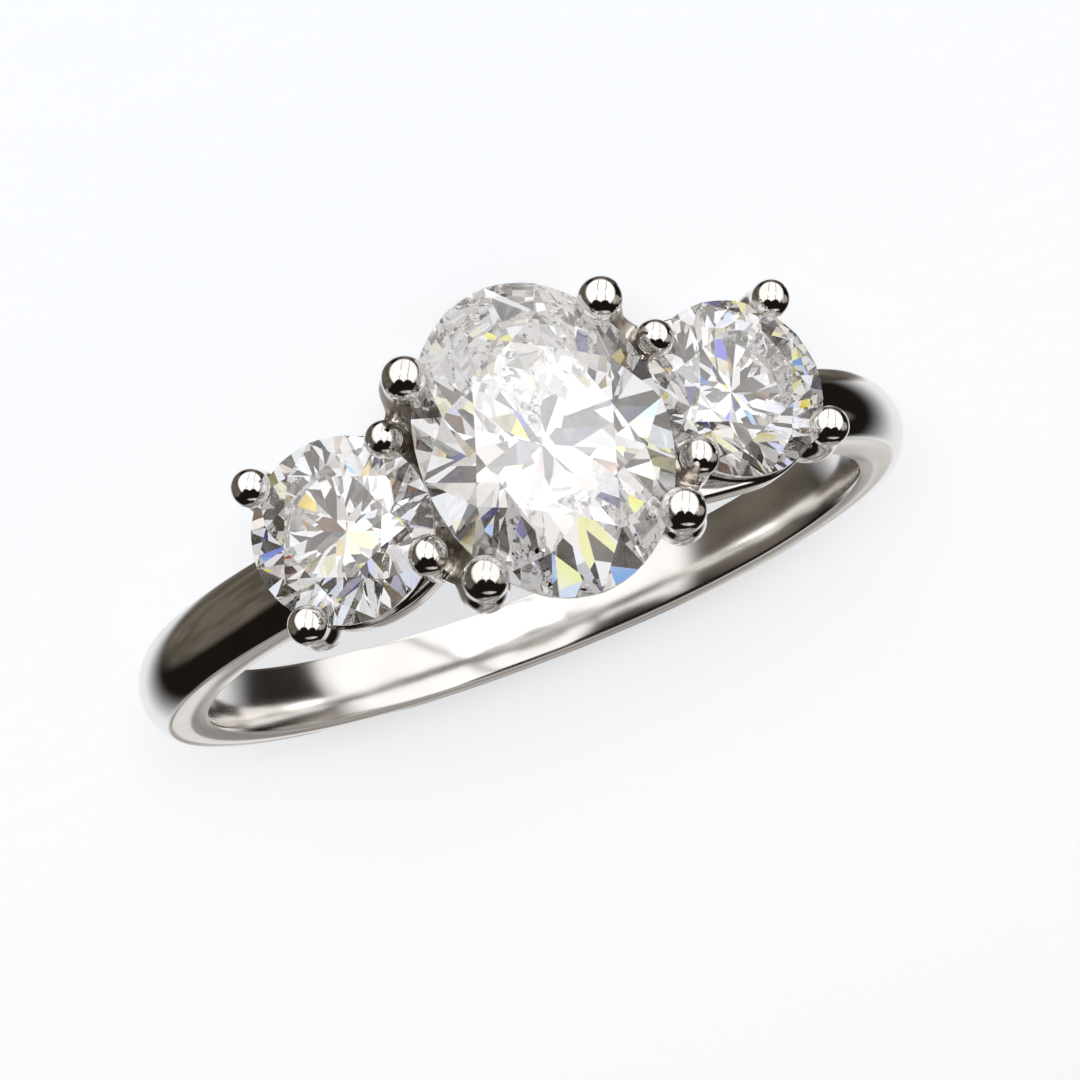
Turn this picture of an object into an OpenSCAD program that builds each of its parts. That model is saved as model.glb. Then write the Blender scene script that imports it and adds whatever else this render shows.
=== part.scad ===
// Three stone ring in polished white metal: a domed band, split claw posts, gallery rails, three cut stones.
// It lies on its side, on the back edge of its band and the end of its oval stone. Sizes are in millimetres.

/* [Band] */
// Inside diameter of the finger hollow
finger_d = 17.3; // [14:0.1:23]
// Width of the band along the finger
band_w = 1.8; // [1.4:0.1:3]
// Thickness of the band at the crest of its dome
band_t = 1.45; // [1.2:0.05:2.4]
// Thickness of the band's flat side faces, as a share of the crest
band_side = 0.71; // [0.5:0.01:0.9]
// Bevel round the two rims of the finger hollow
rim_bevel = 0.12; // [0.05:0.01:0.25]

/* [Centre stone] */
// Width of the oval stone across the finger
centre_w = 5.34; // [4:0.1:7]
// Length of the oval stone along the finger
centre_l = 7.02; // [5.4:0.1:9]
// Height of its girdle above the band's crest
centre_rise = 2.66; // [2.3:0.05:4]

/* [Side stones] */
// Diameter of the two round stones
side_d = 4.09; // [3:0.1:5]
// Angle from the head's middle to a side stone, round the finger
side_turn = 22.3; // [18:0.5:32]
// Height of a side stone's girdle above the band's crest
side_rise = 1.86; // [1.6:0.05:3]
// Outward lean of a side stone
side_lean = 17.2; // [5:0.5:30]

/* [Cut] */
// Table width of each stone, as a share of its diameter
table_share = 0.57; // [0.5:0.01:0.65]
// Slope of the crown's main facets
crown_angle = 34.5; // [30:0.5:38]
// Slope of the pavilion's main facets
pavilion_angle = 40.8; // [38:0.2:43]
// Girdle thickness, as a share of the stone's width
girdle_share = 0.035; // [0.025:0.005:0.06]
// Reach of the star facets from table to girdle
star_share = 0.5; // [0.4:0.05:0.6]
// Reach of the lower girdle facets from girdle to point
lower_share = 0.77; // [0.7:0.01:0.85]

/* [Claws] */
// Diameter of the four ball tips on the centre stone
centre_tip_d = 0.92; // [0.7:0.02:1.2]
// Diameter of the eight ball tips on the side stones
side_tip_d = 0.84; // [0.64:0.02:1.1]
// Position of the centre claws round the oval
centre_claw_turn = 40.3; // [34:0.5:50]
// Position of the inner side claws round their stone
inner_claw_turn = 40; // [34:0.5:50]
// Position of the outer side claws round their stone
outer_claw_turn = 48; // [40:0.5:56]
// Neck of a claw under its tip, as a share of the tip
neck_share = 0.92; // [0.8:0.01:0.96]
// Knee of a claw below its stone, as a share of the tip
knee_share = 1.06; // [1:0.02:1.2]
// Drop of a claw from its tip to its knee
knee_drop = 0.95; // [0.8:0.05:1.5]
// Diameter of a claw at its foot on the band
foot_d = 0.86; // [0.7:0.02:1]
// Angle from the head's middle to the foot of a split post, round the finger
foot_turn = 13; // [10:0.5:16]
// Angle from the head's middle to the foot of an outer claw, round the finger
outer_foot_turn = 31.5; // [28:0.5:35]
// Thickness of the web between the two claws of a split post
web_t = 0.54; // [0.3:0.02:0.6]
// Shift of the web from its claws towards the middle of the ring
web_in = 0.06; // [0:0.02:0.12]
// Depth of the web's top below the tips beside it
web_drop = 0.5; // [0.35:0.05:0.8]
// Dip of the web's saddle between its claws
web_dip = 0.2; // [0.1:0.05:0.4]

/* [Rails] */
// Thickness of a gallery rail from inside to outside
rail_t = 0.5; // [0.35:0.05:0.8]
// Height of a gallery rail
rail_h = 0.8; // [0.5:0.05:1]
// Depth of a side rail's top below its stone's girdle
side_rail_drop = 0.45; // [0.3:0.05:0.7]
// Depth of the centre rail's top below its stone's girdle
centre_rail_drop = 1.1; // [0.9:0.05:1.4]
// Thickness of the straight arm that carries a side rail on to the centre claw
arm_t = 0.44; // [0.3:0.02:0.48]
// Reach of that arm past the middle of the centre claw's leg
arm_past = 0.07; // [0:0.01:0.2]
// Outline of the centre rail, as a share of the oval stone's
centre_rail_share = 0.88; // [0.8:0.01:0.9]
// Bevel along a side rail's outer edges
rail_bevel = 0.1; // [0.04:0.02:0.16]

/* [Fit] */
// Gap between a stone and the metal of its seat
seat_gap = 0.04; // [0.02:0.01:0.1]

/* [Hidden] */
finger_r = finger_d / 2;
crest_r = finger_r + band_t;
side_r = finger_r + band_t * band_side;
dome_rise = crest_r - side_r;
dome_r = (pow(band_w / 2, 2) + pow(dome_rise, 2)) / (2 * dome_rise);
foot_r = finger_r + band_t * 0.4;
foot_y = (band_w - foot_d) / 2 - 0.04;
centre_z = crest_r + centre_rise;
side_reach = crest_r + side_rise;
side_x = side_reach * sin(side_turn);
side_z = side_reach * cos(side_turn);
centre_girdle = girdle_share * centre_w;
// The floor plane touches the band's back edge and the end of the oval's girdle.
rest_tilt = atan2((centre_l - band_w) / 2, centre_z - centre_girdle / 2 + side_r);
gem_steps = 4;
arm_end = 0.62;
arm_proud = 0.03;
white_metal = [0.86, 0.86, 0.87];
clear_stone = [0.93, 0.96, 1];
$fn = 96;

// A tip sits a little outside the girdle and above it, by shares of its own size.
function centre_tip(sx, sy) = let (out = 0.27 * centre_tip_d) [
    sx * (centre_w / 2 + out) * cos(centre_claw_turn),
    sy * (centre_l / 2 + out) * sin(centre_claw_turn),
    centre_z + 0.32 * centre_tip_d
];
function from_side(sx, u, y, n) = [
    sx * (side_x + u * cos(side_lean) + n * sin(side_lean)), y, side_z - u * sin(side_lean) + n * cos(side_lean)
];
function side_tip(sx, sy, way, turn) = let (r = side_d / 2 + 0.12 * side_tip_d)
    from_side(sx, way * r * cos(turn), sy * r * sin(turn), 0.52 * side_tip_d);
function side_axis(sx) = [sx * sin(side_lean), 0, cos(side_lean)];
function foot(sx, sy, turn) = [sx * foot_r * sin(turn), sy * foot_y, foot_r * cos(turn)];
// A centre claw's leg crosses the side rail's middle at this point of the right side stone's own frame.
function in_side(p) = let (x = p[0] - side_x, z = p[2] - side_z)
    [x * cos(side_lean) - z * sin(side_lean), p[1], x * sin(side_lean) + z * cos(side_lean)];
function leg_at_rail() = let (
    low = in_side(foot(1, 1, foot_turn)),
    knee = in_side(centre_tip(1, 1) - [0, 0, knee_drop]),
    share = (-side_rail_drop - rail_h / 2 - low[2]) / (knee[2] - low[2])
) low + share * (knee - low);

// A brilliant of girdle radius 1: rings of points from table to culet, with eight mains.
function ring_at(r, z, count, start) = [for (i = [0 : count - 1])
    [r * cos(start + i * 360 / count), r * sin(start + i * 360 / count), z]];
function plane_z(p, q, r, x, y) = let (n = cross(q - p, r - p)) p[2] - (n[0] * (x - p[0]) + n[1] * (y - p[1])) / n[2];
function girdle_line(inner, half, steps) = [for (i = [0 : 16 * steps - 1]) let (
    turn = i * 22.5 / steps,
    side = floor(turn / 22.5),
    main = 45 * floor((side + 1) / 2),
    star = 45 * floor(side / 2) + 22.5,
    a = [cos(main), sin(main), half],
    b = [cos(star), sin(star), half],
    c = [inner[0] * cos(star), inner[0] * sin(star), inner[1]]
) [cos(turn), sin(turn), plane_z(a, b, c, cos(turn), sin(turn))]];

module brilliant(wide, long, steps = gem_steps, grow = 1) {
    half = girdle_share;
    table_z = half + (1 - table_share) * tan(crown_angle);
    star_edge = table_share * cos(22.5);
    star_r = star_edge + star_share * (1 - star_edge);
    star_z = table_z - (star_r * cos(22.5) - table_share) * tan(crown_angle);
    culet_z = -half - tan(pavilion_angle);
    lower_r = 1 - lower_share;
    lower_z = culet_z + lower_r * cos(22.5) * tan(pavilion_angle);
    count = 16 * steps;
    points = concat(
        ring_at(table_share, table_z, 8, 0),
        ring_at(star_r, star_z, 8, 22.5),
        girdle_line([star_r, star_z], half, steps),
        girdle_line([lower_r, lower_z], -half, steps),
        ring_at(lower_r, lower_z, 8, 22.5),
        [[0, 0, culet_z]]
    );
    top = 16;
    low = top + count;
    lower = low + count;
    culet = lower + 8;
    faces = concat(
        [[for (i = [7 : -1 : 0]) i]],
        [for (i = [0 : 7]) [i, (i + 1) % 8, 8 + i]],
        [for (i = [0 : 7]) [i, 8 + i, top + 2 * i * steps, 8 + (i + 7) % 8]],
        [for (i = [0 : 7], j = [0, 1]) concat([8 + i],
            [for (k = [steps : -1 : 0]) top + ((2 * i + j) * steps + k) % count])],
        [for (k = [0 : count - 1]) [top + k, top + (k + 1) % count, low + (k + 1) % count, low + k]],
        [for (i = [0 : 7], j = [0, 1]) concat([lower + i],
            [for (k = [0 : steps]) low + ((2 * i + j) * steps + k) % count])],
        [for (i = [0 : 7]) [culet, lower + (i + 7) % 8, low + 2 * i * steps, lower + i]]
    );
    scale([wide / 2 * grow, long / 2 * grow, wide / 2 * grow])
        polyhedron(points = points, faces = faces, convexity = 4);
}

module seat(wide, long) {
    // One point a facet is enough here, and the girdle's corners are moved out so that its sides clear the stone.
    brilliant(wide, long, 1, (1 + seat_gap / (0.3 * wide)) / cos(11.25));
}

module lying() {
    rotate([90 - rest_tilt, 0, 0]) children();
}

module at_side(sx) {
    translate([sx * side_x, 0, side_z]) rotate([0, sx * side_lean, 0]) children();
}

module band() {
    rotate([90, 0, 0]) rotate_extrude() intersection() {
        translate([crest_r - dome_r, 0]) circle(dome_r);
        polygon([
            [finger_r + rim_bevel, -band_w / 2], [crest_r + 1, -band_w / 2], [crest_r + 1, band_w / 2],
            [finger_r + rim_bevel, band_w / 2], [finger_r, band_w / 2 - rim_bevel], [finger_r, rim_bevel - band_w / 2]
        ]);
    }
}

module rod(low, high, low_d, high_d) {
    span = high - low;
    translate(low)
        rotate([0, acos(span[2] / norm(span)), atan2(span[1], span[0])])
            cylinder(h = norm(span), d1 = low_d, d2 = high_d);
}

module claw(low, tip, axis, tip_d) {
    knee = tip - knee_drop * axis;
    rod(low, knee, foot_d, tip_d * knee_share);
    translate(knee) sphere(d = tip_d * (knee_share + 0.04));
    rod(knee, tip, tip_d * knee_share, tip_d * neck_share);
    translate(tip) sphere(d = tip_d);
}

module split_post(sx, sy) {
    low = foot(sx, sy, foot_turn);
    first = centre_tip(sx, sy);
    second = side_tip(sx, sy, -1, inner_claw_turn);
    claw(low, first, [0, 0, 1], centre_tip_d);
    claw(low, second, side_axis(sx), side_tip_d);
    // The web stands upright between the two claws, with its top drawn down into a saddle.
    span = [second[0] - first[0], second[1] - first[1]];
    far = norm(span);
    top = [for (i = [0 : 8]) let (t = i / 8)
        [far * t, first[2] + (second[2] - first[2]) * t - web_drop - web_dip * 4 * t * (1 - t)]];
    translate([first[0], first[1], 0]) rotate([90, 0, atan2(span[1], span[0])])
        translate([0, 0, sx * sy * web_in - web_t / 2]) linear_extrude(web_t)
            polygon(concat([[0, first[2] - knee_drop]], top, [[far, second[2] - knee_drop]]));
}

module rail_arm(sx, sy) {
    // A straight arm runs on from the side rail, past the split post to the centre claw's leg.
    r = side_d / 2;
    reach = arm_past - leg_at_rail()[0];
    at_side(sx) translate([
        sx > 0 ? -reach : -arm_end * r,
        sy > 0 ? r + arm_proud - arm_t : -r - arm_proud,
        rail_bevel / 2 - side_rail_drop - rail_h
    ])
        cube([reach + arm_end * r, arm_t, rail_h - rail_bevel]);
}

module side_rail(sx) {
    r = side_d / 2;
    at_side(sx) rotate_extrude() polygon([
        [r - rail_t, -side_rail_drop], [r - rail_bevel, -side_rail_drop], [r, -side_rail_drop - rail_bevel],
        [r, rail_bevel - side_rail_drop - rail_h], [r - rail_bevel, -side_rail_drop - rail_h],
        [r - rail_t, -side_rail_drop - rail_h]
    ]);
}

module centre_rail() {
    share = centre_rail_share;
    translate([0, 0, centre_z - centre_rail_drop - rail_h]) linear_extrude(rail_h) difference() {
        polygon([for (i = [0 : 63]) [share * centre_w / 2 * cos(i * 5.625), share * centre_l / 2 * sin(i * 5.625)]]);
        polygon([for (i = [0 : 63])
            [(share * centre_w / 2 - rail_t) * cos(i * 5.625), (share * centre_l / 2 - rail_t) * sin(i * 5.625)]]);
    }
}

module ring_mount() {
    color(white_metal) lying() difference() {
        union() {
            band();
            for (sx = [-1, 1], sy = [-1, 1]) {
                split_post(sx, sy);
                claw(foot(sx, sy, outer_foot_turn), side_tip(sx, sy, 1, outer_claw_turn), side_axis(sx), side_tip_d);
            }
            for (sx = [-1, 1], sy = [-1, 1]) rail_arm(sx, sy);
            for (sx = [-1, 1]) side_rail(sx);
            centre_rail();
        }
        translate([0, 0, centre_z]) seat(centre_w, centre_l);
        for (sx = [-1, 1]) at_side(sx) seat(side_d, side_d);
    }
}

module centre_stone() {
    color(clear_stone) lying() translate([0, 0, centre_z]) brilliant(centre_w, centre_l);
}

module left_stone() {
    color(clear_stone) lying() at_side(-1) brilliant(side_d, side_d);
}

module right_stone() {
    color(clear_stone) lying() at_side(1) brilliant(side_d, side_d);
}

ring_mount();
centre_stone();
left_stone();
right_stone();
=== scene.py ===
import math

import bmesh
import bpy
from mathutils import Matrix, Vector


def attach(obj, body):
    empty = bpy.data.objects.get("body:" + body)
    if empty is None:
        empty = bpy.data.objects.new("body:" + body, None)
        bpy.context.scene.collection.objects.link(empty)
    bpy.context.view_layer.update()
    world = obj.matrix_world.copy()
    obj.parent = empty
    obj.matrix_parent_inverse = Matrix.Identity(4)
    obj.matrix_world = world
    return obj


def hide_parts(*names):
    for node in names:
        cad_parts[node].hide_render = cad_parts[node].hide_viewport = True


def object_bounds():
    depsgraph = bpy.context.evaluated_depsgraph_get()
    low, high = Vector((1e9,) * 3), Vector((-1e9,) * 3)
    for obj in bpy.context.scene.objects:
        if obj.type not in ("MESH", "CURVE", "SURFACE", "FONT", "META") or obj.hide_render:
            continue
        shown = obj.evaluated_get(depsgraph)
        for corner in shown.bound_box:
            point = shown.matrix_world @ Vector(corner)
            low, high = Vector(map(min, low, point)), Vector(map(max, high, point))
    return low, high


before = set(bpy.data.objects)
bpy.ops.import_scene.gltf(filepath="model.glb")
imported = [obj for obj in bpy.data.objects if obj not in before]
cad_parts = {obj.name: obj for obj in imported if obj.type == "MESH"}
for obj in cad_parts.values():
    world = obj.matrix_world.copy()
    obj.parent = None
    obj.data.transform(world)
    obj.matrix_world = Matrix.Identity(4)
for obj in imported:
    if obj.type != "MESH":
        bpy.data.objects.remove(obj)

cadBox = [list(corner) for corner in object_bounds()]  # the CAD box, before anything is dressed
print("frame:", sorted(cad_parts))

# Sizes are in millimetres, in the ring's own upright frame: X along the stones, Y along the finger, Z up
# through the head. Each finished mesh is laid down at the end, as the CAD is.
band = {
    "fingerRadius": 8.65,
    "width": 1.8,
    "crestRadius": 10.1,
    "sideRadius": 9.6795,
    "rimBevel": 0.12,
    "rimShare": 0.3,  # where the corner between the bevel's two flats lies
    "edgeRound": 0.05,
    "domeSteps": 28,
    "rounds": 360,
    "crease": 28,
}
ovalStone = {"width": 5.34, "length": 7.02, "girdleZ": 12.76}
roundStone = {"diameter": 4.09, "turn": 22.3, "reach": 11.96, "lean": 17.2}
restTilt = 6.66191  # the lean of the ring as it lies on its side
millimetre = 0.001  # in metres


def direction(turn):
    return math.cos(math.radians(turn)), math.sin(math.radians(turn))


leanCos, leanSin = direction(roundStone["lean"])
roundStone["x"] = roundStone["reach"] * direction(roundStone["turn"])[1]
roundStone["z"] = roundStone["reach"] * direction(roundStone["turn"])[0]

laidDown = Matrix.Scale(millimetre, 4) @ Matrix.Rotation(math.radians(90 - restTilt), 4, "X")
fingerAxis = laidDown.to_3x3() @ Vector((0, 1, 0))
fingerAxis.normalize()


def besideFrame(side):  # the frame of a round stone, which leans outwards
    place = Matrix.Translation((side * roundStone["x"], 0, roundStone["z"]))
    return place @ Matrix.Rotation(math.radians(side * roundStone["lean"]), 4, "Y")


# Node trees

def tone(colour):
    return (*colour, 1)


class Wire:  # one output socket, so that node maths is written as plain expressions
    def __init__(self, sheet, socket):
        self.sheet, self.socket = sheet, socket

    def math(self, operation, first, second=0.0):
        return self.sheet.put("ShaderNodeMath", {"operation": operation}, {0: first, 1: second})

    def __add__(self, other):
        return self.math("ADD", self, other)

    def __sub__(self, other):
        return self.math("SUBTRACT", self, other)

    def __rsub__(self, other):
        return self.math("SUBTRACT", other, self)

    def __mul__(self, other):
        return self.math("MULTIPLY", self, other)

    def __truediv__(self, other):
        return self.math("DIVIDE", self, other)

    def __pow__(self, other):
        return self.math("POWER", self, other)

    def __lt__(self, other):
        return self.math("LESS_THAN", self, other)

    __radd__, __rmul__ = __add__, __mul__

    def within(self, low, high):  # 0 at low, 1 at high, smooth between
        return self.sheet.put("ShaderNodeMapRange", {"interpolation_type": "SMOOTHSTEP"},
                              {"Value": self, "From Min": low, "From Max": high})


class Sheet:  # a node tree, and the one way that nodes are added to it
    def __init__(self, tree):
        self.tree = tree
        tree.nodes.clear()

    def put(self, kind, settings=None, sockets=None, out=0):
        node = self.tree.nodes.new(kind)
        for name, value in (settings or {}).items():
            setattr(node, name, value)
        for name, value in (sockets or {}).items():
            for each in value if isinstance(value, list) else [value]:
                if isinstance(each, Wire):
                    self.tree.links.new(each.socket, node.inputs[name])
                else:
                    node.inputs[name].default_value = each
        return Wire(self, node.outputs[out]) if len(node.outputs) else node

    def vector(self, operation, first, second=(0, 0, 0), out=0):
        return self.put("ShaderNodeVectorMath", {"operation": operation}, {0: first, 1: second}, out)

    def blend(self, factor, first, second):  # a mix of two colours
        return self.put("ShaderNodeMix", {"data_type": "RGBA"}, {0: factor, 6: first, 7: second}, 2)

    def noise(self, place, scale, detail, rough=0.5):
        return self.put("ShaderNodeTexNoise", {}, {
            "Vector": place, "Scale": scale, "Detail": detail, "Roughness": rough})


def newMaterial(name):
    material = bpy.data.materials.new(name)
    material.use_nodes = True
    return material, Sheet(material.node_tree)


def show(sheet, shader, kind="ShaderNodeOutputMaterial"):
    sheet.put(kind, {}, {"Surface": shader})


# Finishes

metalFinish = {  # scales are per metre
    "colour": (0.86, 0.845, 0.83),
    "shade": (0.8, 0.775, 0.75),
    "shadeRange": (0.35, 0.7),
    "roughness": 0.045,
    "hollowRoughness": 0.1,
    "hollowFade": 0.0002,
    "wearRoughness": 0.05,
    "wearRange": (0.5, 0.75),
    "cloudScale": 420,  # broad polishing marks
    "grainScale": 5200,
    "fineRough": 0.6,
    "lineScale": 140,  # lines that run round the band
    "lineStretch": 60,
    "lineDrift": 0.2,
    "lineDepth": 0.4,
    "grainDepth": 0.3,
    "scratch": 0.0286,
    "wave": 0.000007,
    "waveScale": 330,
    "hollowWaveScale": 800,
    "handWave": 13,
    "handWaveScale": 520,
    # painted shade: a darker brown for the unpolished metal between the claws and on the rails
    "satinShadeColour": (0.47, 0.42, 0.37),
    "satinRoughness": 0.3,
    "satinGrain": 0.1,
}


def marked(sheet, name):  # a value that a piece carries on its points, 0 where it has none
    return sheet.put("ShaderNodeAttribute", {"attribute_name": name}, out="Fac")


def whiteGold():
    finish, finger = metalFinish, band["fingerRadius"] * millimetre
    material, sheet = newMaterial("polishedWhiteGold")
    place = sheet.put("ShaderNodeTexCoord", out="Object")
    along = sheet.vector("DOT_PRODUCT", place, tuple(fingerAxis), "Value")
    flat = sheet.vector("SUBTRACT", place, sheet.vector("MULTIPLY", sheet.put(
        "ShaderNodeCombineXYZ", {}, {0: along, 1: along, 2: along}), tuple(fingerAxis)))
    radius = sheet.vector("LENGTH", flat, out="Value")
    hollow = 1 - radius.within(finger, finger + finish["hollowFade"])
    cloud = sheet.noise(place, finish["cloudScale"], 3)
    grain = sheet.noise(place, finish["grainScale"], 2, finish["fineRough"])
    lines = sheet.put("ShaderNodeCombineXYZ", {}, {
        0: along * finish["lineStretch"], 1: radius * finish["lineStretch"], 2: cloud * finish["lineDrift"]})
    polish = sheet.noise(lines, finish["lineScale"], 2, finish["fineRough"])
    rough = finish["roughness"] + hollow * finish["hollowRoughness"] \
        + cloud.within(*finish["wearRange"]) * finish["wearRoughness"]
    satin = marked(sheet, "satin")  # 1 where the metal is left unpolished, and where its colour is darkened with painted shade
    rough = rough + satin * (finish["satinRoughness"] + grain * finish["satinGrain"])
    colour = sheet.blend(cloud.within(*finish["shadeRange"]), tone(finish["colour"]), tone(finish["shade"]))
    # painted shade: the unpolished metal turns a darker brown
    colour = sheet.blend(satin, colour, tone(finish["satinShadeColour"]))
    byHand = marked(sheet, "byHand")  # 1 where a claw is filed by hand
    swell = sheet.noise(place, finish["waveScale"], 1) \
        + hollow * sheet.noise(place, finish["hollowWaveScale"], 1) \
        + byHand * finish["handWave"] * sheet.noise(place, finish["handWaveScale"], 1)
    fine = polish * (finish["lineDepth"] + hollow) + grain * finish["grainDepth"]
    bump = sheet.put("ShaderNodeBump", {}, {
        "Distance": finish["wave"], "Height": swell + fine * finish["scratch"]})
    show(sheet, sheet.put("ShaderNodeBsdfPrincipled", {}, {
        "Base Color": colour, "Metallic": 1.0, "Roughness": rough, "Normal": bump}))
    return material


gemFinish = {
    "ior": 2.42,
    "warm": (1, 0.995, 0.98),
    "cool": (0.985, 0.99, 1),
    "cloudScale": 900,
    "cloudRange": (0.4, 0.6),
    "girdleRoughness": 0.18,
    "girdleRange": (0.5, 0.75),  # shares of its height
}


def clearGem(name, middle, axis, girdleHeight):
    material, sheet = newMaterial(name)
    place = sheet.put("ShaderNodeTexCoord", out="Object")
    offset = sheet.vector("SUBTRACT", place, tuple(middle))
    above = sheet.vector("DOT_PRODUCT", offset, tuple(axis), "Value")
    away = sheet.put("ShaderNodeMath", {"operation": "ABSOLUTE"}, {0: above})
    girdle = 1 - away.within(*(girdleHeight * share for share in gemFinish["girdleRange"]))
    cloud = sheet.noise(place, gemFinish["cloudScale"], 1).within(*gemFinish["cloudRange"])
    show(sheet, sheet.put("ShaderNodeBsdfPrincipled", {}, {
        "Base Color": sheet.blend(cloud, tone(gemFinish["warm"]), tone(gemFinish["cool"])),
        "Roughness": girdle * gemFinish["girdleRoughness"], "IOR": gemFinish["ior"],
        "Transmission Weight": 1.0}))
    return material


whiteGoldFinish = whiteGold()
print("finishes ready")


# Shapes made by rule

def growTree(name, inputs):  # a geometry tree with named inputs, and its sheet
    tree = bpy.data.node_groups.new(name, "GeometryNodeTree")
    tree.interface.new_socket("Geometry", in_out="INPUT", socket_type="NodeSocketGeometry")
    for label, value in inputs.items():
        kind = "NodeSocketInt" if isinstance(value, int) else "NodeSocketFloat"
        tree.interface.new_socket(label, in_out="INPUT", socket_type=kind).default_value = value
    tree.interface.new_socket("Geometry", in_out="OUTPUT", socket_type="NodeSocketGeometry")
    sheet = Sheet(tree)
    start = tree.nodes.new("NodeGroupInput")
    return tree, sheet, {socket.name: Wire(sheet, socket) for socket in start.outputs if socket.name}


def endTree(sheet, shape, material):
    solid = sheet.put("GeometryNodeRealizeInstances", {}, {"Geometry": shape})
    sheet.put("NodeGroupOutput", {}, {"Geometry": sheet.put(
        "GeometryNodeSetMaterial", {}, {"Geometry": solid, "Material": material})})


def grown(name, tree, inputs, points, edges, widths=None):  # runs a tree on a wire, as a plain mesh
    mesh = bpy.data.meshes.new(name + "Wire")
    mesh.from_pydata([tuple(point) for point in points], edges, [])
    if widths:
        mesh.attributes.new("halfWidth", "FLOAT", "POINT").data.foreach_set("value", widths)
    wire = bpy.data.objects.new(name + "Wire", mesh)
    bpy.context.scene.collection.objects.link(wire)
    modifier = wire.modifiers.new("grow", "NODES")
    modifier.node_group = tree
    for item in tree.interface.items_tree:
        if item.in_out == "INPUT" and item.name in inputs:
            modifier[item.identifier] = inputs[item.name]
    solid = bpy.data.meshes.new_from_object(wire.evaluated_get(bpy.context.evaluated_depsgraph_get()))
    solid.name = name
    wire.modifiers.remove(modifier)
    bpy.data.objects.remove(wire)
    return solid


def tidyMesh(mesh, matrix=None, gap=0.0005):  # welds doubles, and turns the faces outwards
    shape = bmesh.new()
    shape.from_mesh(mesh)
    bmesh.ops.remove_doubles(shape, verts=shape.verts, dist=gap)
    if matrix is not None:
        bmesh.ops.transform(shape, matrix=matrix, verts=shape.verts)
    bmesh.ops.recalc_face_normals(shape, faces=shape.faces)
    shape.to_mesh(mesh)
    shape.free()
    return mesh


def addPiece(name, meshes, material=None):  # one object from a few meshes
    shape = bmesh.new()
    for mesh in meshes:
        shape.from_mesh(mesh)
    joined = bpy.data.meshes.new(name)
    shape.to_mesh(joined)
    shape.free()
    joined.materials.append(material or whiteGoldFinish)
    piece = bpy.data.objects.new(name, joined)
    bpy.context.scene.collection.objects.link(piece)
    return piece


def change(piece, modifiers):  # applies modifiers to the piece's mesh
    for kind, settings in modifiers:
        modifier = piece.modifiers.new(kind, kind)
        for name, value in settings.items():
            setattr(modifier, name, value)
    mesh = bpy.data.meshes.new_from_object(piece.evaluated_get(bpy.context.evaluated_depsgraph_get()))
    piece.modifiers.clear()
    piece.data = mesh


def settle(piece, crease):  # lays a finished piece down, shades it and ties it to the ring
    piece.data.transform(laidDown)
    piece.data.shade_smooth()
    piece.data.set_sharp_from_angle(angle=math.radians(crease))
    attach(piece, "root")
    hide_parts("ring_mount")
    print(piece.name, len(piece.data.polygons), "faces")


# The band and the rails: a profile swept round a circle or an oval

def loopTree():
    tree, sheet, given = growTree("loopTree", {"Rounds": 360, "Half width": 1.0, "Half length": 1.0})
    profile = sheet.put("GeometryNodeMeshToCurve", {}, {"Mesh": given["Geometry"]})
    path = sheet.put("GeometryNodeCurvePrimitiveCircle", {}, {"Resolution": given["Rounds"], "Radius": 1.0})
    size = sheet.put("ShaderNodeCombineXYZ", {}, {0: given["Half width"], 1: given["Half length"], 2: 1.0})
    path = sheet.put("GeometryNodeTransform", {}, {"Geometry": path, "Scale": size})
    path = sheet.put("GeometryNodeSetCurveNormal", {"mode": "Z_UP"}, {"Curve": path})
    endTree(sheet, sheet.put("GeometryNodeCurveToMesh", {}, {
        "Curve": path, "Profile Curve": profile}), whiteGoldFinish)
    return tree


sweepRound = loopTree()


def sweptLoop(name, profile, halfWidth, halfLength, rounds, place=None):  # profile: (out, up) from the path
    edges = [(i, (i + 1) % len(profile)) for i in range(len(profile))]
    mesh = grown(name, sweepRound, {"Rounds": rounds, "Half width": halfWidth, "Half length": halfLength},
                 [(out, -up, 0) for out, up in profile], edges)
    return tidyMesh(mesh, place)


def bandProfile():
    half, finger = band["width"] / 2, band["fingerRadius"]
    crest, bevel = band["crestRadius"], band["rimBevel"]
    rise = crest - band["sideRadius"]
    domeRadius = (half ** 2 + rise ** 2) / (2 * rise)
    reach = math.asin(half / domeRadius) - band["edgeRound"] / domeRadius
    dome = [(crest - domeRadius * (1 - math.cos(a)), domeRadius * math.sin(a)) for a in
            [reach * (2 * i / band["domeSteps"] - 1) for i in range(band["domeSteps"] + 1)]]
    inner = [(band["sideRadius"] - band["edgeRound"], half), (finger + bevel, half),
             (finger + bevel * band["rimShare"], half - bevel * band["rimShare"]), (finger, half - bevel)]
    return [(x - finger, y) for x, y in dome + inner + [(x, -y) for x, y in reversed(inner)]]


upright = Matrix.Rotation(math.radians(90), 4, "X")
bandMesh = sweptLoop("bandLoop", bandProfile(), band["fingerRadius"], band["fingerRadius"],
                     band["rounds"], upright)
settle(addPiece("bandLoop", [bandMesh]), band["crease"])

rails = {
    "thick": 0.5,
    "height": 0.8,
    "bevel": 0.1,
    "ovalBevel": 0.06,
    "roundDrop": 0.45,
    "ovalDrop": 1.1,
    "ovalShare": 0.88,
    "armThick": 0.44,
    "armProud": 0.03,
    "armEdge": 0.13,
    "armStart": 1.35,
    "armEnds": {1: 1.8, -1: 2.288},
    "armBows": {1: 2.6, -1: 40},
    "armSteps": 24,
    "armSectionSteps": 5,
    # a little roughness and painted shade on the rails
    "satin": 0.12,
    "rounds": 160,
    "crease": 28,
}


def railProfile(drop, bevel):
    low, inside = drop + rails["height"], -rails["thick"]
    return [(inside + bevel, -drop), (-bevel, -drop), (0, -drop - bevel), (0, bevel - low), (-bevel, -low),
            (inside + bevel, -low), (inside, bevel - low), (inside, -drop - bevel)]


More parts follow.
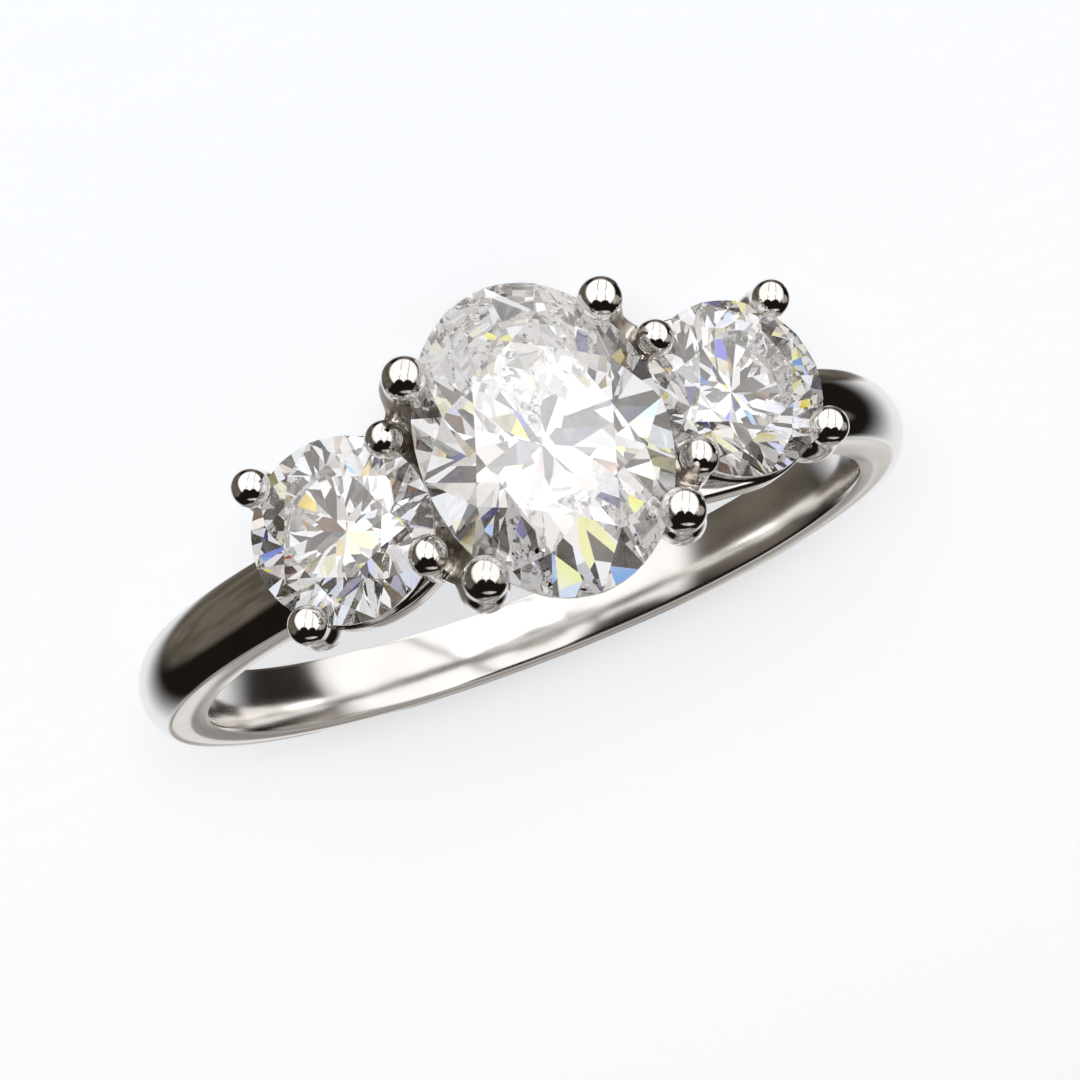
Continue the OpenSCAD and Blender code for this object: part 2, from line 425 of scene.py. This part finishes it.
def barTree():
    tree, sheet, given = growTree("barTree", {"Thick": 0.4, "Height": 0.7, "Edge": 0.1})
    line = sheet.put("GeometryNodeMeshToCurve", {}, {"Mesh": given["Geometry"]})
    line = sheet.put("GeometryNodeSetCurveNormal", {"mode": "Z_UP"}, {"Curve": line})
    section = sheet.put("GeometryNodeCurvePrimitiveQuadrilateral", {}, {
        "Width": given["Thick"], "Height": given["Height"]})
    section = sheet.put("GeometryNodeFilletCurve", {"mode": "POLY"}, {
        "Curve": section, "Count": rails["armSectionSteps"], "Radius": given["Edge"]})
    endTree(sheet, sheet.put("GeometryNodeCurveToMesh", {}, {
        "Curve": line, "Profile Curve": section, "Fill Caps": True}), whiteGoldFinish)
    return tree


def arm(tree, side, end):  # follows the round rail from the outer claw, then runs on to the centre claw
    outer, z = roundStone["diameter"] / 2 + rails["armProud"], -rails["roundDrop"] - rails["height"] / 2
    start, reach, steps = rails["armStart"], rails["armEnds"][side], rails["armSteps"]
    points = []
    for i in range(steps + 1):
        x = start - (start + reach) * i / steps
        y = math.sqrt(outer ** 2 - x ** 2) if x > 0 else outer - x ** 2 / (2 * rails["armBows"][side])
        points.append((side * x, end * (y - rails["armThick"] / 2), z))
    mesh = grown("arm", tree, {
        "Thick": rails["armThick"], "Height": rails["height"] - rails["bevel"], "Edge": rails["armEdge"]},
        points, [(i, i + 1) for i in range(steps)])
    return tidyMesh(mesh, besideFrame(side))


def galleryRails():
    roundHalf, share = roundStone["diameter"] / 2, rails["ovalShare"]
    parts = [sweptLoop("roundRail", railProfile(rails["roundDrop"], rails["bevel"]), roundHalf, roundHalf,
                       rails["rounds"], besideFrame(side)) for side in (-1, 1)]
    bar = barTree()
    parts += [arm(bar, side, end) for side in (-1, 1) for end in (-1, 1)]
    parts.append(sweptLoop("ovalRail", railProfile(rails["ovalDrop"], rails["ovalBevel"]),
                           share * ovalStone["width"] / 2, share * ovalStone["length"] / 2, rails["rounds"],
                           Matrix.Translation((0, 0, ovalStone["girdleZ"]))))
    piece = addPiece("galleryRails", parts)
    # the rails carry a little of the unpolished roughness and its painted shade
    satin = piece.data.attributes.new("satin", "FLOAT", "POINT")
    for each in satin.data:
        each.value = rails["satin"]
    return piece


settle(galleryRails(), rails["crease"])

# Stones: rings of facet corners by the rule of a brilliant cut, closed by a hull

cut = {
    "table": 0.57,
    "crownAngle": 34.5,
    "pavilionAngle": 40.8,
    "girdle": 0.035,
    "star": 0.5,
    "lower": 0.77,
    "girdleSides": 64,
    "point": 0.0001,  # a triangle at the very bottom, welded to one corner
    "weld": 0.001,
    "flatAngle": 0.6,  # facets closer than this to one plane are one facet
}
stonePlace = {
    "ovalStone": Matrix.Translation((0, 0, ovalStone["girdleZ"])),
    "leftRound": besideFrame(-1),
    "rightRound": besideFrame(1),
}
stoneNode = {"ovalStone": "centre_stone", "leftRound": "left_stone", "rightRound": "right_stone"}


def stoneTree():
    tree, sheet, given = growTree("stoneTree", {
        "Width": 1.0, "Length": 1.0, "Table": cut["table"], "Crown slope": 0.7, "Pavilion slope": 0.86,
        "Girdle": cut["girdle"], "Star": cut["star"], "Lower": cut["lower"],
        "Girdle sides": cut["girdleSides"]})
    halfMain, halfLower = math.radians(22.5), math.radians(11.25)  # half the turn of a facet
    eighth, sixteenth = math.cos(halfMain), math.cos(halfLower)

    def circle(sides, radius, height, turn):
        ring = sheet.put("GeometryNodeMeshCircle", {}, {"Vertices": sides, "Radius": 1.0})
        size = sheet.put("ShaderNodeCombineXYZ", {}, {0: radius, 1: radius, 2: 1.0})
        place = sheet.put("ShaderNodeCombineXYZ", {}, {2: height})
        return sheet.put("GeometryNodeTransform", {}, {
            "Geometry": ring, "Translation": place, "Rotation": (0, 0, turn), "Scale": size})

    def girdleRing(slope, height):  # the girdle's edge rises and falls where the facets beside it end
        ring = sheet.put("GeometryNodeMeshCircle", {}, {"Vertices": given["Girdle sides"], "Radius": 1.0})
        point = sheet.put("GeometryNodeInputPosition")
        x, y = (sheet.put("ShaderNodeSeparateXYZ", {}, {0: point}, out) for out in (0, 1))
        turn = sheet.put("ShaderNodeMath", {"operation": "ARCTAN2"}, {0: y, 1: x}) + math.tau + halfMain
        fold = sheet.put("ShaderNodeMath", {"operation": "PINGPONG"}, {0: turn, 1: halfMain})
        beyond = sheet.put("ShaderNodeMath", {"operation": "COSINE"}, {0: fold - halfLower}) - sixteenth
        shift = sheet.put("ShaderNodeCombineXYZ", {}, {2: height - slope * beyond})
        return sheet.put("GeometryNodeSetPosition", {}, {"Geometry": ring, "Offset": shift})

    tableZ = given["Girdle"] + (1 - given["Table"]) * given["Crown slope"]
    starEdge = given["Table"] * eighth
    starR = starEdge + given["Star"] * (1 - starEdge)
    starZ = tableZ - (starR * eighth - given["Table"]) * given["Crown slope"]
    culetZ = given["Girdle"] * -1 - given["Pavilion slope"]
    lowerR = 1 - given["Lower"]
    lowerZ = culetZ + lowerR * eighth * given["Pavilion slope"]
    upperSlope = (starZ - given["Girdle"]) / (1 - starR) / sixteenth
    lowerSlope = (lowerZ + given["Girdle"]) / (1 - lowerR) / sixteenth
    rings = [circle(8, given["Table"], tableZ, 0), circle(8, starR, starZ, halfMain),
             girdleRing(upperSlope, given["Girdle"]), girdleRing(lowerSlope, given["Girdle"] * -1),
             circle(8, lowerR, lowerZ, halfMain), circle(3, cut["point"], culetZ, 0)]
    hull = sheet.put("GeometryNodeConvexHull", {}, {"Geometry": sheet.put(
        "GeometryNodeJoinGeometry", {}, {"Geometry": rings})})
    size = sheet.put("ShaderNodeCombineXYZ", {}, {
        0: given["Width"] * 0.5, 1: given["Length"] * 0.5, 2: given["Width"] * 0.5})
    hull = sheet.put("GeometryNodeTransform", {}, {"Geometry": hull, "Scale": size})
    endTree(sheet, sheet.put("GeometryNodeSetShadeSmooth", {}, {
        "Geometry": hull, "Shade Smooth": False}), None)
    return tree


def cutStone(name, tree, width, length):
    crown, pavilion = (math.tan(math.radians(cut[angle])) for angle in ("crownAngle", "pavilionAngle"))
    mesh = grown(name, tree, {
        "Width": width, "Length": length, "Table": cut["table"], "Crown slope": crown,
        "Pavilion slope": pavilion, "Girdle": cut["girdle"], "Star": cut["star"], "Lower": cut["lower"],
        "Girdle sides": cut["girdleSides"]}, [(0, 0, 0)], [])
    shape = bmesh.new()
    shape.from_mesh(mesh)
    bmesh.ops.remove_doubles(shape, verts=shape.verts, dist=cut["weld"])
    bmesh.ops.dissolve_limit(shape, angle_limit=math.radians(cut["flatAngle"]), verts=shape.verts,
                             edges=shape.edges)
    bmesh.ops.transform(shape, matrix=stonePlace[name], verts=shape.verts)
    shape.to_mesh(mesh)
    shape.free()
    print(name, len(mesh.polygons), "facets")
    return mesh


brilliant = stoneTree()
cutStones = {name: cutStone(name, brilliant, *size) for name, size in (
    ("ovalStone", (ovalStone["width"], ovalStone["length"])),
    ("leftRound", (roundStone["diameter"],) * 2), ("rightRound", (roundStone["diameter"],) * 2))}
for name, mesh in cutStones.items():
    place = laidDown @ stonePlace[name]
    width = ovalStone["width"] if name == "ovalStone" else roundStone["diameter"]
    gem = clearGem(name + "Gem", place.translation, (place.to_3x3() @ Vector((0, 0, 1))).normalized(),
                   width * cut["girdle"] / 2 * millimetre)
    stone = addPiece(name, [mesh], gem)
    stone.data.transform(laidDown)
    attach(stone, "root")
    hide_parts(stoneNode[name])

# Claws: each leg runs from a foot in the band, over a knee, to a ball tip over its stone's edge

claws = {  # a pair of keys is (side, end); one key is the end of the finger's axis
    "centreTip": {-1: 0.99, 1: 1.01},
    "roundTip": {-1: 0.87, 1: 0.9},
    "centreOut": {-1: 0.19, 1: 0.255},
    "centreLift": 0.3,
    "roundOut": 0.12,  # shares of the tip's size
    "roundLift": 0.5,
    "centreTurns": {(1, -1): 36, (-1, -1): 40, (-1, 1): 42, (1, 1): 40.5},
    "innerTurns": {(1, -1): 39, (-1, -1): 42, (-1, 1): 39, (1, 1): 39},
    "outerTurns": {(1, -1): 47, (-1, -1): 49, (-1, 1): 44, (1, 1): 52},
    "neckShare": 0.92,
    "innerNeck": 1.04,
    "kneeShare": 1.08,
    "kneeDrop": 0.95,
    "neckDrop": 0.35,  # a share of the knee's drop
    "bendShare": 0.6,
    "footWidth": 0.86,
    "footRadius": 9.23,
    "footY": 0.43,
    "splitFootTurn": 13,
    "outerFootTurn": 31.5,
    "webThick": 0.54,
    "webIn": 0.06,
    "webDrop": 0.5,
    "webDip": 0.2,
    "webSteps": 12,
    "sides": 40,
    "steps": 40,
    "voxel": 0.05,
    "soften": {"factor": 0.5, "iterations": 6},
    "seatGap": 0.03,
    "seatReach": 0.8,  # how far from the stone's middle the gap is measured
    "weld": 0.0002,
    "polishReach": 0.53,
    "polishFade": 0.12,
    "flankStart": 0.5,
    "flankFade": 0.3,
    "crease": 32,
}


def centreTip(side, end):
    out, (c, s) = claws["centreOut"][end], direction(claws["centreTurns"][side, end])
    return Vector((side * (ovalStone["width"] / 2 + out) * c, end * (ovalStone["length"] / 2 + out) * s,
                   ovalStone["girdleZ"] + claws["centreLift"]))


def besideTip(side, end, way):  # way: -1 towards the oval stone, 1 away from it
    turns, size = claws["innerTurns"] if way < 0 else claws["outerTurns"], claws["roundTip"][end]
    r, (c, s) = roundStone["diameter"] / 2 + claws["roundOut"] * size, direction(turns[side, end])
    return besideFrame(side) @ Vector((side * way * r * c, end * r * s, claws["roundLift"] * size))


def foot(side, end, turn):
    c, s = direction(turn)
    return Vector((side * claws["footRadius"] * s, end * claws["footY"], claws["footRadius"] * c))


def leg(low, tip, axis, width, neckShare=claws["neckShare"]):  # points and half widths of one claw
    knee, neck = tip - claws["kneeDrop"] * axis, tip - claws["neckDrop"] * claws["kneeDrop"] * axis
    footWidth, kneeWidth = claws["footWidth"], width * claws["kneeShare"]
    tipWidth = width * claws["neckShare"]
    widths = [footWidth, (footWidth + kneeWidth) / 2, kneeWidth, width * neckShare, tipWidth]
    return [low, low.lerp(knee, claws["bendShare"]), knee, neck, tip], [each / 2 for each in widths]


def clawTree():
    tree, sheet, given = growTree("clawTree", {"Sides": 24, "Steps": 24, "Neck share": 1.0})
    halfWidth = sheet.put("GeometryNodeInputNamedAttribute", {"data_type": "FLOAT"}, {"Name": "halfWidth"})
    line = sheet.put("GeometryNodeMeshToCurve", {}, {"Mesh": given["Geometry"]})
    line = sheet.put("GeometryNodeCurveSplineType", {"spline_type": "CATMULL_ROM"}, {"Curve": line})
    line = sheet.put("GeometryNodeResampleCurve", {}, {"Curve": line, "Count": given["Steps"]})
    ring = sheet.put("GeometryNodeCurvePrimitiveCircle", {}, {"Resolution": given["Sides"], "Radius": 1.0})
    legs = sheet.put("GeometryNodeCurveToMesh", {}, {
        "Curve": line, "Profile Curve": ring, "Scale": halfWidth, "Fill Caps": True})
    ball = sheet.put("GeometryNodeMeshUVSphere", {}, {
        "Segments": given["Sides"], "Rings": given["Sides"], "Radius": 1.0})
    last = sheet.put("GeometryNodeCurveEndpointSelection", {}, {"Start Size": 0, "End Size": 1})
    balls = sheet.put("GeometryNodeInstanceOnPoints", {}, {
        "Points": line, "Selection": last, "Instance": ball, "Scale": halfWidth / given["Neck share"]})
    endTree(sheet, sheet.put("GeometryNodeJoinGeometry", {}, {"Geometry": [legs, balls]}), whiteGoldFinish)
    return tree


def web(side, end):  # the bar between the two claws of a split post, its top drawn down into a saddle
    first, second = centreTip(side, end), besideTip(side, end, -1)
    along = Vector((second.x - first.x, second.y - first.y, 0))
    across = Vector((along.y, -along.x, 0)).normalized()
    steps = claws["webSteps"]
    points, faces = [], []
    for i in range(steps + 1):
        t = i / steps
        point = first.lerp(second, t)
        top = point.z - claws["webDrop"] - claws["webDip"] * 4 * t * (1 - t)
        low = point.z - claws["kneeDrop"]
        for z, out in ((top, 1), (top, -1), (low, -1), (low, 1)):
            shift = across * (side * end * claws["webIn"] + out * claws["webThick"] / 2)
            points.append((point.x + shift.x, point.y + shift.y, z))
    for i in range(steps):
        for k in range(4):
            faces.append((4 * i + k, 4 * i + (k + 1) % 4, 4 * i + 4 + (k + 1) % 4, 4 * i + 4 + k))
    faces += [(3, 2, 1, 0), tuple(4 * steps + k for k in range(4))]
    mesh = bpy.data.meshes.new("web")
    mesh.from_pydata(points, [], faces)
    return tidyMesh(mesh)


def seatCutter(stone):  # a copy of a stone, a little larger
    mesh = cutStones[stone].copy()
    place = stonePlace[stone]
    growth = Matrix.Scale(1 + claws["seatGap"] / claws["seatReach"], 4)
    mesh.transform(place @ growth @ place.inverted())
    cutter = bpy.data.objects.new(stone + "Seat", mesh)
    bpy.context.scene.collection.objects.link(cutter)
    return cutter


def fade(value):
    return min(max(value, 0), 1)


def markFinishAndShade(piece, tips):  # the metal is unpolished away from the tips and the outer flanks, and darkened there with painted shade
    satin = piece.data.attributes.new("satin", "FLOAT", "POINT")
    for i, vertex in enumerate(piece.data.vertices):
        away = min((vertex.co - tip).length for tip in tips)
        outwards = math.copysign(vertex.normal.y, vertex.normal.y * vertex.co.y)
        satin.data[i].value = fade((away - claws["polishReach"]) / claws["polishFade"]) \
            * fade((claws["flankStart"] - outwards) / claws["flankFade"])
    byHand = piece.data.attributes.new("byHand", "FLOAT", "POINT")
    byHand.data.foreach_set("value", [1.0] * len(piece.data.vertices))


def clawPosts():
    points, edges, widths, legs = [], [], [], []
    for side in (-1, 1):
        axis = Vector((side * leanSin, 0, leanCos))
        for end in (-1, 1):
            low, high = foot(side, end, claws["splitFootTurn"]), foot(side, end, claws["outerFootTurn"])
            width = claws["roundTip"][end]
            legs.append(leg(low, centreTip(side, end), Vector((0, 0, 1)), claws["centreTip"][end]))
            legs.append(leg(low, besideTip(side, end, -1), axis, width, claws["innerNeck"]))
            legs.append(leg(high, besideTip(side, end, 1), axis, width))
    for line, halves in legs:
        edges += [(len(points) + i, len(points) + i + 1) for i in range(len(line) - 1)]
        points += line
        widths += halves
    posts = grown("clawPosts", clawTree(), {
        "Sides": claws["sides"], "Steps": claws["steps"], "Neck share": claws["neckShare"]},
        points, edges, widths)
    webs = [web(side, end) for side in (-1, 1) for end in (-1, 1)]
    piece = addPiece("clawPosts", [posts] + webs)
    change(piece, [("REMESH", {"mode": "VOXEL", "voxel_size": claws["voxel"]}),
                   ("SMOOTH", claws["soften"])])
    cutters = [seatCutter(stone) for stone in cutStones]
    seats = [("BOOLEAN", {"object": cutter, "operation": "DIFFERENCE", "solver": "MANIFOLD"})
             for cutter in cutters]
    change(piece, seats + [("TRIANGULATE", {}), ("WELD", {"merge_threshold": claws["weld"]})])
    for cutter in cutters:
        bpy.data.objects.remove(cutter)
    markFinishAndShade(piece, [line[-1] for line, halves in legs])
    return piece


settle(clawPosts(), claws["crease"])

# Floor, lights and camera

stage = {
    "reach": 0.9,
    "drop": 0.000005,
    "colour": (0.8, 0.812, 0.825),
    "cooler": (0.788, 0.80388, 0.825),
    "cloudScale": 6,  # broad unevenness in its colour
    "cloudRange": (0.3, 0.7),
    "grainScale": 600,
    "grain": {"Strength": 0.05, "Distance": 0.0001},
    "roughness": 0.6,
    "grainRoughness": 0.1,
    "shine": 0.2,
    "glow": 0.77,
    "open": (0.95, 0.965, 1),
    "soft": 0.15,
}
lamp = {
    "at": (0.3, -2.85, 0.51),
    "aim": (0, -0.008, 0),
    "size": (1.5, 0.5),
    "power": 152,
    "colour": (1, 0.99, 0.97),
}
view = {  # fitted to the photo
    "place": (0.00793895, -0.07310051, 0.02307015),
    "across": (-0.93359, 0.0064, 0.35828),
    "above": (-0.34079, -0.32484, -0.88224),
    "ahead": (0.11073, -0.94575, 0.30545),
    "lens": 102.381,
    "sensor": 36,
    "nearest": 0.001,
    "farthest": 10,
}

# What the metal mirrors: patches on a disc. Its middle lies towards the viewer, its edge straight away.
tent = {
    "dark": (0.012, 0.009, 0.007),
    "far": (0.9, 0.91, 0.93),
    "farRange": (0.7, 0.84),
    "unevenScale": 3.5,
    "unevenRange": (0.35, 0.65),
    "patches": [  # middle, half size, softness, dim and bright colour
        ((-0.5, 0.12), (0.24, 0.42), 0.3, (0.1, 0.085, 0.066), (0.16, 0.14, 0.115)),
        ((0.2, 0.64), (0.4, 0.18), 0.3, (0.07, 0.058, 0.045), (0.2, 0.175, 0.145)),
        ((0.2, -0.78), (0.5, 0.22), 0.4, (0.24, 0.225, 0.21), (0.58, 0.55, 0.53)),
        ((-0.02, -0.88), (0.08, 0.09), 0.5, (0.72, 0.69, 0.66), (0.9, 0.87, 0.84)),
        ((0.12, -0.4), (0.2, 0.045), 0.5, (0.3, 0.28, 0.26), (0.75, 0.73, 0.7)),
        ((0.56, -0.68), (0.1, 0.12), 0.5, (0.5, 0.48, 0.45), (0.8, 0.78, 0.75)),
        ((0.46, 0.0), (0.17, 0.14), 0.6, (0.3, 0.275, 0.245), (0.62, 0.58, 0.52)),
    ],
    "white": (1.25, 1.24, 1.22),
    "opening": ((0.015, 0.2), (0.41, 0.41), 0.18),
    "humps": [((-0.1, -0.24), (0.16, 0.22), 0.15), ((0.13, -0.25), (0.16, 0.22), 0.15)],
    "seams": (-0.09, 0.13),
    "seamHalfWidth": 0.012,
    "seamLean": 0.1,
    "seamDepth": 0.8,
    "hot": ((0.022, 0.15), (0.11, 0.1), 0.15),
    "heat": 2.95,
}

fire = {  # what the stones show: light and dark cells, read a little apart for red, green and blue
    "scale": 3.1,
    "shift": (0.011, 0.0055, -0.011),
    "apart": (1, -1, 0.5),  # the way of the shift
    "least": (0.026, 0.023, 0.021),
    "steps": [
        (0.22, (0.07, 0.059, 0.052)),
        (0.42, (0.25, 0.225, 0.212)),
        (0.58, (0.6, 0.575, 0.57)),
        (0.72, (0.88, 0.86, 0.865)),
        (0.84, (1.2, 1.18, 1.2)),
    ],
    "warmCell": (1.05, 0.985, 0.91),
    "coolCell": (0.93, 0.99, 1.06),
    "blur": 0.25,
    "ramp": 0.06,
    "turns": (6, 9),  # long ways blur
    "calm": (0.64, 0.62, 0.615),
}


def rays(sheet):
    return {name: sheet.put("ShaderNodeLightPath", out=name) for name in
            ("Is Camera Ray", "Is Glossy Ray", "Is Transmission Ray", "Diffuse Depth")}


def paleFloor():
    material, sheet = newMaterial("paleFloor")
    place = sheet.put("ShaderNodeTexCoord", out="Object")
    grain = sheet.noise(place, stage["grainScale"], 3)
    cloud = sheet.noise(place, stage["cloudScale"], 2).within(*stage["cloudRange"])
    colour = sheet.blend(cloud, tone(stage["colour"]), tone(stage["cooler"]))
    bump = sheet.put("ShaderNodeBump", {}, {**stage["grain"], "Height": grain})
    seen = sheet.put("ShaderNodeBsdfPrincipled", {}, {
        "Base Color": colour, "Roughness": stage["roughness"] + grain * stage["grainRoughness"],
        "Normal": bump, "Specular IOR Level": stage["shine"], "Emission Color": colour,
        "Emission Strength": stage["glow"]})
    ray = rays(sheet)
    show(sheet, sheet.put("ShaderNodeMixShader", {}, {
        0: ray["Is Glossy Ray"] + ray["Is Transmission Ray"], 1: seen,
        2: sheet.put("ShaderNodeBsdfTransparent", {}, {"Color": (1, 1, 1, 1)})}))
    return material


def addFloor():
    reach, z = stage["reach"], cadBox[0][2] - stage["drop"]
    corners = [(-reach, -reach, z), (reach, -reach, z), (reach, reach, z), (-reach, reach, z)]
    mesh = bpy.data.meshes.new("floor")
    mesh.from_pydata(corners, [], [(0, 1, 2, 3)])
    mesh.materials.append(paleFloor())
    floor = bpy.data.objects.new("floor", mesh)
    bpy.context.scene.collection.objects.link(floor)


def addLamp():
    light = bpy.data.lights.new("key", "AREA")
    light.shape = "RECTANGLE"
    light.size, light.size_y = lamp["size"]
    light.energy, light.color = lamp["power"], lamp["colour"]
    holder = bpy.data.objects.new("key", light)
    holder.location = lamp["at"]
    holder.rotation_euler = (Vector(lamp["aim"]) - Vector(lamp["at"])).to_track_quat("-Z", "Y").to_euler()
    holder.visible_camera = holder.visible_glossy = holder.visible_transmission = False
    bpy.context.scene.collection.objects.link(holder)


def mirrored(sheet, way):  # the tent round the ring, by direction
    across, above, ahead = (sheet.vector("DOT_PRODUCT", way, view[axis], "Value")
                            for axis in ("across", "above", "ahead"))
    angle = sheet.put("ShaderNodeMath", {"operation": "ARCCOSINE"}, {0: ahead})
    sine = sheet.put("ShaderNodeMath", {"operation": "SINE"}, {0: angle})
    spread = angle / (sine + 0.0001) / math.pi  # the small number is for a sine of 0
    u, v = across * spread, above * spread

    def patch(middle, size, soft):
        gap = ((u - middle[0]) / size[0]) ** 2 + ((v - middle[1]) / size[1]) ** 2
        return 1 - gap.within(1 - soft, 1 + soft)

    uneven = sheet.noise(way, tent["unevenScale"], 2).within(*tent["unevenRange"])
    far = (angle / math.pi).within(*tent["farRange"])
    colour = sheet.blend(far, tone(tent["dark"]), tone(tent["far"]))
    for middle, size, soft, dim, bright in tent["patches"]:
        shine = sheet.blend(uneven, tone(dim), tone(bright))
        colour = sheet.blend(patch(middle, size, soft), colour, shine)
    opening = patch(*tent["opening"])
    for spot in tent["humps"]:
        opening = opening * (1 - patch(*spot))
    for place in tent["seams"]:
        off = u - v * tent["seamLean"] - place
        seam = 1 - (off * off).within(0, tent["seamHalfWidth"] ** 2)
        opening = opening * (1 - tent["seamDepth"] * seam)
    colour = sheet.blend(opening, colour, tone(tent["white"]))
    return sheet.blend(patch(*tent["hot"]), colour, tone([tent["heat"]] * 3))


def sparkle(sheet, way):  # cells of light and dark, by direction
    parts = []
    for channel, shift in enumerate(fire["shift"]):
        turned = sheet.vector("ADD", way, tuple(shift * share for share in fire["apart"]))
        cell = sheet.put("ShaderNodeTexVoronoi", {"feature": "SMOOTH_F1"}, {
            "Vector": turned, "Scale": fire["scale"], "Smoothness": fire["blur"]}, "Color")
        chance, warmth = (sheet.put("ShaderNodeSeparateColor", {}, {0: cell}, out) for out in (0, 1))
        level = last = fire["least"][channel]
        for step, colour in fire["steps"]:
            rise = chance.within(step - fire["ramp"], step + fire["ramp"])
            level = level + rise * (colour[channel] - last)
            last = colour[channel]
        cool, warm = fire["coolCell"][channel], fire["warmCell"][channel]
        parts.append(level * (cool + warmth * (warm - cool)))
    cells = sheet.put("ShaderNodeCombineColor", {}, dict(enumerate(parts)))
    turns = sheet.put("ShaderNodeLightPath", out="Ray Depth")
    return sheet.blend(turns.within(*fire["turns"]), cells, tone(fire["calm"]))


def background(sheet, colour):
    return sheet.put("ShaderNodeBackground", {}, {"Color": colour, "Strength": 1.0})


def surround():  # open and pale to the eye, a tent in the metal, light and dark cells in the stones
    world = bpy.data.worlds.new("surround")
    world.use_nodes = True
    bpy.context.scene.world = world
    sheet = Sheet(world.node_tree)
    ray = rays(sheet)
    way = sheet.put("ShaderNodeTexCoord", out="Generated")
    light = background(sheet, tone([stage["soft"] * c for c in stage["open"]]))
    direct = ray["Diffuse Depth"] < 0.5  # the floor sees no bright patch by way of the metal
    for factor, colour in ((ray["Is Glossy Ray"] * direct, mirrored(sheet, way)),
                           (ray["Is Transmission Ray"] * direct, sparkle(sheet, way)),
                           (ray["Is Camera Ray"], tone(stage["open"]))):
        light = sheet.put("ShaderNodeMixShader", {}, {0: factor, 1: light, 2: background(sheet, colour)})
    show(sheet, light, "ShaderNodeOutputWorld")


def addCamera():
    lens = bpy.data.cameras.new("camera")
    lens.lens, lens.sensor_width = view["lens"], view["sensor"]
    lens.clip_start, lens.clip_end = view["nearest"], view["farthest"]
    camera = bpy.data.objects.new("camera", lens)
    turn = Matrix((view["across"], view["above"], view["ahead"])).transposed()
    camera.matrix_world = Matrix.Translation(view["place"]) @ turn.to_4x4()
    bpy.context.scene.collection.objects.link(camera)
    bpy.context.scene.camera = camera


addFloor()
addLamp()
surround()
addCamera()
scene = bpy.context.scene
scene.view_settings.view_transform = "Standard"
scene.cycles.max_bounces, scene.cycles.glossy_bounces = 36, 32  # light turns often in a stone
scene.world.cycles.sampling_method = "NONE"
print("stage ready")
